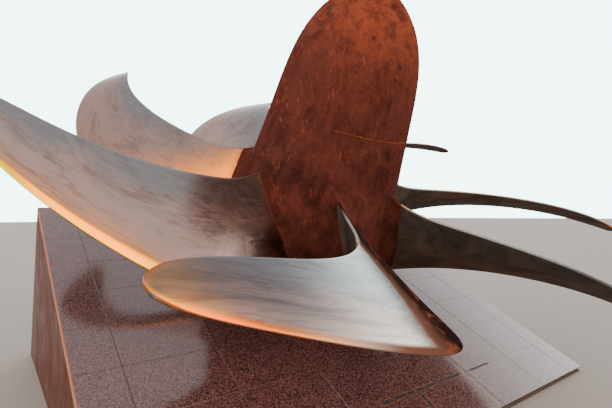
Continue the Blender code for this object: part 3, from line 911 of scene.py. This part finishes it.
class PROPELLER_OT_top_slabs(bpy.types.Operator):
    """Lays the polished slabs and the mortar of the sloping top"""
    bl_idname = "propeller.top_slabs"
    bl_label = "Lay the top slabs"

    def execute(self, context):
        plinth, colours = context.scene.plinth_sizes, context.scene.finish_colours
        toe, crest, _ = plinth_points(plinth)
        run = (crest - toe).length
        courses = math.ceil((run - plinth.first_course) / plinth.course) + 1
        slope = Matrix.Translation((0.0, toe.x, toe.y)) @ Matrix.Rotation(plinth.top_slope, 4, "X")
        granite = polished_granite(colours, slope, plinth.first_course)
        tree = course_tree()
        names = ["top_left_strip"] + [f"top_column_{i}" for i in range(1, 7)] + ["top_right_strip"]
        for name in names:
            low, high = (corner[0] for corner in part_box(name))
            mesh = modifier_mesh(f"{name}_slabs", bpy.data.meshes.new("setting_out"), tree, {
                "Width": high - low, "Run": run, "First course": plinth.first_course, "Course": plinth.course,
                "Courses": courses, "Joint": plinth.cross_joint, "Thickness": plinth.slab_thickness,
                "Finish": granite}, plinth.arris)
            mesh.transform(slope @ Matrix.Translation(((low + high) / 2, 0.0, 0.0)))
            finished_piece(f"{name}_slabs", mesh, granite, "polished_granite", name)
        self.lay_mortar(plinth, colours, names, slope, run)
        return {"FINISHED"}

    def lay_mortar(self, plinth, colours, names, slope, run):
        """Strips of mortar in the long joints and the cross joints, just under the face."""
        bm = bmesh.new()
        end_gap, side_gap = 0.001, 0.004
        edges = [[corner[0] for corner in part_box(name)] for name in names]
        strips = [(left[1], right[0], end_gap, run - end_gap) for left, right in zip(edges, edges[1:])]
        joint = plinth.first_course
        while joint < run:
            strips += [(low + side_gap, high - side_gap, joint - plinth.cross_joint / 2,
                        joint + plinth.cross_joint / 2) for low, high in edges]
            joint += plinth.course
        top, bottom = -plinth.mortar_depth, -plinth.slab_thickness
        for x0, x1, y0, y1 in strips:
            corners = [bm.verts.new((x, y, z)) for z in (bottom, top) for x, y in
                       ((x0, y0), (x1, y0), (x1, y1), (x0, y1))]
            for face in ((3, 2, 1, 0), (4, 5, 6, 7), (0, 1, 5, 4), (1, 2, 6, 5), (2, 3, 7, 6), (3, 0, 4, 7)):
                bm.faces.new([corners[i] for i in face])
        mesh = bpy.data.meshes.new("joint_mortar")
        bm.to_mesh(mesh)
        bm.free()
        mesh.transform(slope)
        finished_piece("joint_mortar", mesh, damp_mortar(colours), "concrete")


class PROPELLER_OT_plinth_faces(bpy.types.Operator):
    """Finishes the upright and rear facing and the core, whose solids already have the right shape"""
    bl_idname = "propeller.plinth_faces"
    bl_label = "Finish the other faces"

    def execute(self, context):
        colours = context.scene.finish_colours
        dulled = unpolished_granite("weathered_red_granite", colours, 0.02, (0.25, 0.40), 0.08)
        honed = unpolished_granite("honed_red_granite", colours, 0.25, (0.45, 0.45), 0.1)
        finishes = {("rear_", "left_panel_", "right_panel_"): dulled, ("left_corner_", "right_corner_"): honed,
                    ("plinth_core",): cast_concrete(colours)}
        for name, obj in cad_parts.items():
            for starts, material in finishes.items():
                if name.startswith(starts):
                    for slot in obj.material_slots:
                        slot.material = material
        return {"FINISHED"}


class PROPELLER_OT_stage(bpy.types.Operator):
    """Lays the floor, hangs the lamp and sets up the camera"""
    bl_idname = "propeller.stage"
    bl_label = "Set the stage"

    def execute(self, context):
        colours = context.scene.finish_colours
        reach = 120.0
        mesh = bpy.data.meshes.new("floor")
        mesh.from_pydata([(-reach, -reach, 0.0), (reach, -reach, 0.0), (reach, reach, 0.0), (-reach, reach, 0.0)],
                         [], [(0, 1, 2, 3)])
        mesh.materials.append(swept_floor(colours))
        floor = new_object("floor", mesh)
        self.backdrop(context, colours)
        self.lamp(colours)
        self.camera(context)
        return {"FINISHED"}

    def backdrop(self, context, colours):
        """A pale surround, brighter low down, with an evening glow on one side and a plain backdrop in view."""
        world = bpy.data.worlds.new("pale_surround")
        world.use_nodes = True
        nodes = Nodes(world.node_tree)
        between, times = nodes.between, nodes.times

        def glowing(tint, strength):
            return nodes.add("ShaderNodeBackground", None, {"Color": solid(tint), "Strength": strength})

        ray = nodes.add("ShaderNodeTexCoord", output="Generated")
        up = nodes.split(ray)[2]
        overhead = glowing(colours.sky, between(up, 0.03, 0.12, 0.12, 0.75))
        low_sky = glowing(colours.sky_low, times(between(up, 0.06, 0.14, 0.0, 3.0), between(up, 0.70, 0.25)))
        sky = nodes.add("ShaderNodeAddShader", None, {0: overhead, 1: low_sky})
        toward_glow = Vector((-0.303, -0.750, 0.588))
        facing = nodes.add("ShaderNodeVectorMath", {"operation": "DOT_PRODUCT"}, {0: ray, 1: toward_glow}, "Value")
        rays = add_node(nodes.tree, "ShaderNodeLightPath").outputs
        # The glow shows in reflections; matt surfaces get a quarter of it
        share = times(between(facing, 0.60, 0.92), between(up, -0.05, 0.03), between(up, 0.96, 0.74),
                      between(rays["Is Glossy Ray"], 0.0, 1.0, 0.25, 1.0))
        glow = glowing(colours.glow, between(facing, 0.60, 0.98, 1.6, 5.0))
        sky = nodes.add("ShaderNodeMixShader", None, {0: share, 1: sky, 2: glow})
        plain = glowing(colours.backdrop, 9.0)
        seen = nodes.add("ShaderNodeMixShader", None, {0: rays["Is Camera Ray"], 1: sky, 2: plain})
        connect(nodes.tree, nodes.tree.nodes["World Output"], {"Surface": seen})
        context.scene.world = world

    def lamp(self, colours):
        """A wide warm lamp, low on the near side."""
        lamp = bpy.data.lights.new("warm_side", "AREA")
        lamp.shape = "DISK"
        lamp.size = 5.0
        lamp.energy = 120.0
        lamp.color = colours.lamp
        obj = new_object("warm_side", lamp)
        obj.location = (-3.4, -13.0, 3.2)
        target = Vector((0.0, 0.0, 1.2))
        obj.rotation_euler = (target - obj.location).to_track_quat("-Z", "Y").to_euler()

    def camera(self, context):
        """Camera at the photograph's place, found from the plinth's edges."""
        lens = bpy.data.cameras.new("photograph_view")
        lens.sensor_width = 36.0
        lens.lens = 25.165
        lens.clip_start = 0.05
        obj = new_object("photograph_view", lens)
        right = Vector((0.80189, -0.59745, -0.00571))
        forward = Vector((0.59740, 0.80159, 0.02377))
        up = Vector((-0.00962, -0.02247, 0.99970))
        turn = Matrix((right, up, -forward)).transposed().to_4x4()
        obj.matrix_world = Matrix.Translation((-2.419, -3.5545, 1.4653)) @ turn
        context.scene.camera = obj


class PROPELLER_PT_panel(bpy.types.Panel):
    """Lists the steps of the propeller and its plinth"""
    bl_idname = "PROPELLER_PT_panel"
    bl_label = "Ship propeller"
    bl_space_type = "VIEW_3D"
    bl_region_type = "UI"
    bl_category = "Propeller"

    def draw(self, context):
        for step in STEPS:
            self.layout.operator(step.bl_idname)
        for group in (context.scene.propeller_sizes, context.scene.plinth_sizes, context.scene.finish_colours):
            box = self.layout.box()
            for name in group.__annotations__:
                box.prop(group, name)


STEPS = (PROPELLER_OT_hub, PROPELLER_OT_blades, PROPELLER_OT_top_slabs, PROPELLER_OT_plinth_faces,
         PROPELLER_OT_stage)
GROUPS = {"propeller_sizes": PropellerSizes, "plinth_sizes": PlinthSizes, "finish_colours": FinishColours}


def register():
    for group in GROUPS.values():
        bpy.utils.register_class(group)
    for name, group in GROUPS.items():
        setattr(bpy.types.Scene, name, PointerProperty(type=group))
    for step in (*STEPS, PROPELLER_PT_panel):
        bpy.utils.register_class(step)


def unregister():
    for step in (PROPELLER_PT_panel, *reversed(STEPS)):
        bpy.utils.unregister_class(step)
    for name, group in GROUPS.items():
        delattr(bpy.types.Scene, name)
        bpy.utils.unregister_class(group)


def main():
    register()
    bpy.ops.propeller.hub()
    bpy.ops.propeller.blades()
    bpy.ops.propeller.top_slabs()
    bpy.ops.propeller.plinth_faces()
    bpy.ops.propeller.stage()


if __name__ == "__main__":
    main()
